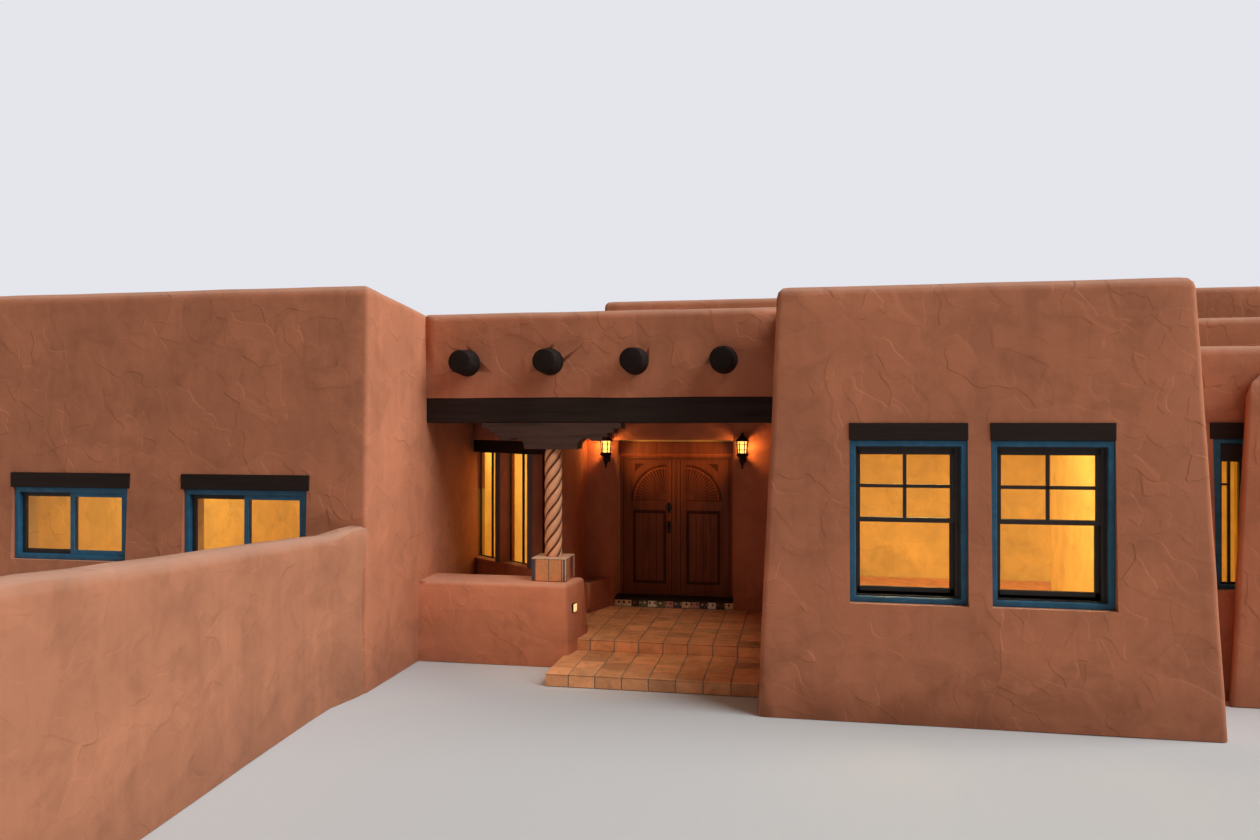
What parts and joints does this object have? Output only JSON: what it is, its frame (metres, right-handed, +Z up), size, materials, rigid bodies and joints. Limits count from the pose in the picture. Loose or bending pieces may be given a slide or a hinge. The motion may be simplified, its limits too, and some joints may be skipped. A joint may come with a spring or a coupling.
{
  "type": "adobe house",
  "caption": "Single-storey adobe house with leaning stucco walls, a recessed log-roofed porch with a carved double door, deep-set blue windows and a garden wall.",
  "frame": {"origin": "on the ground under the middle of the front door, in the plane of the outer face of its leaves", "axes": "+X to the right along the front for someone who faces it, +Y into the house, +Z up"},
  "size_m": [17.68, 17.55, 5.15],
  "materials": {
    "stucco": "rough trowelled",
    "column_stone": "matte",
    "dark_timber": "weathered",
    "door_wood": "oiled",
    "roof_coating": "rough",
    "clay_tile": "satin",
    "glazed_tile": "glazed",
    "blue_paint": "satin",
    "window_glass": "clear",
    "black_iron": "matte"
  },
  "bodies": {
    "house": {"left_wing_front_wall": "stucco", "left_wing_outer_wall": "stucco", "left_wing_inner_wall": "stucco", "left_wing_back_wall": "stucco", "nook_front_wall": "stucco", "nook_side_wall": "stucco", "entry_wall_left": "stucco", "entry_wall_right": "stucco", "entry_wall_head": "stucco", "porch_parapet": "stucco", "right_wing_front_wall": "stucco", "right_wing_inner_wall": "stucco", "right_wing_outer_wall": "stucco", "bay_front_wall": "stucco", "bay_upper_wall": "stucco", "right_buttress": "stucco", "right_end_wall": "stucco", "great_room_front_wall": "stucco", "great_room_left_wall": "stucco", "great_room_back_wall": "stucco", "garden_wall": "stucco", "porch_half_wall": "stucco", "porch_bench": "stucco", "column_plinth": "column_stone", "twisted_column": "column_stone", "corbel": "dark_timber", "porch_beam": "dark_timber", "vigas": "dark_timber", "porch_roof": "roof_coating", "left_wing_roof": "roof_coating", "hall_roof": "roof_coating", "bay_roof": "roof_coating", "great_room_roof": "roof_coating", "house_floor": "clay_tile", "porch_floor": "clay_tile", "porch_step": "clay_tile", "door_step": "glazed_tile", "door_sill": "dark_timber", "door_frame": "door_wood", "window_lintels": "dark_timber", "slider_window_frames": "blue_paint", "tall_window_frames": "blue_paint", "narrow_window_frames": "blue_paint", "window_glass": "window_glass", "lanterns": "black_iron"},
    "leaf_left": {"door_leaf_left": "door_wood", "door_handle": "black_iron"},
    "leaf_right": {"door_leaf_right": "door_wood"}
  },
  "joints": [
    {"name": "left_leaf_hinge", "type": "hinge", "parent": "house", "child": "leaf_left", "pos_m": [-0.7755, 0.057, 1.43], "axis": [0, 0, 1], "range_deg": [0, 100]},
    {"name": "right_leaf_hinge", "type": "hinge", "parent": "house", "child": "leaf_right", "pos_m": [0.7755, 0.057, 1.43], "axis": [0, 0, -1], "range_deg": [0, 100]}
  ]
}
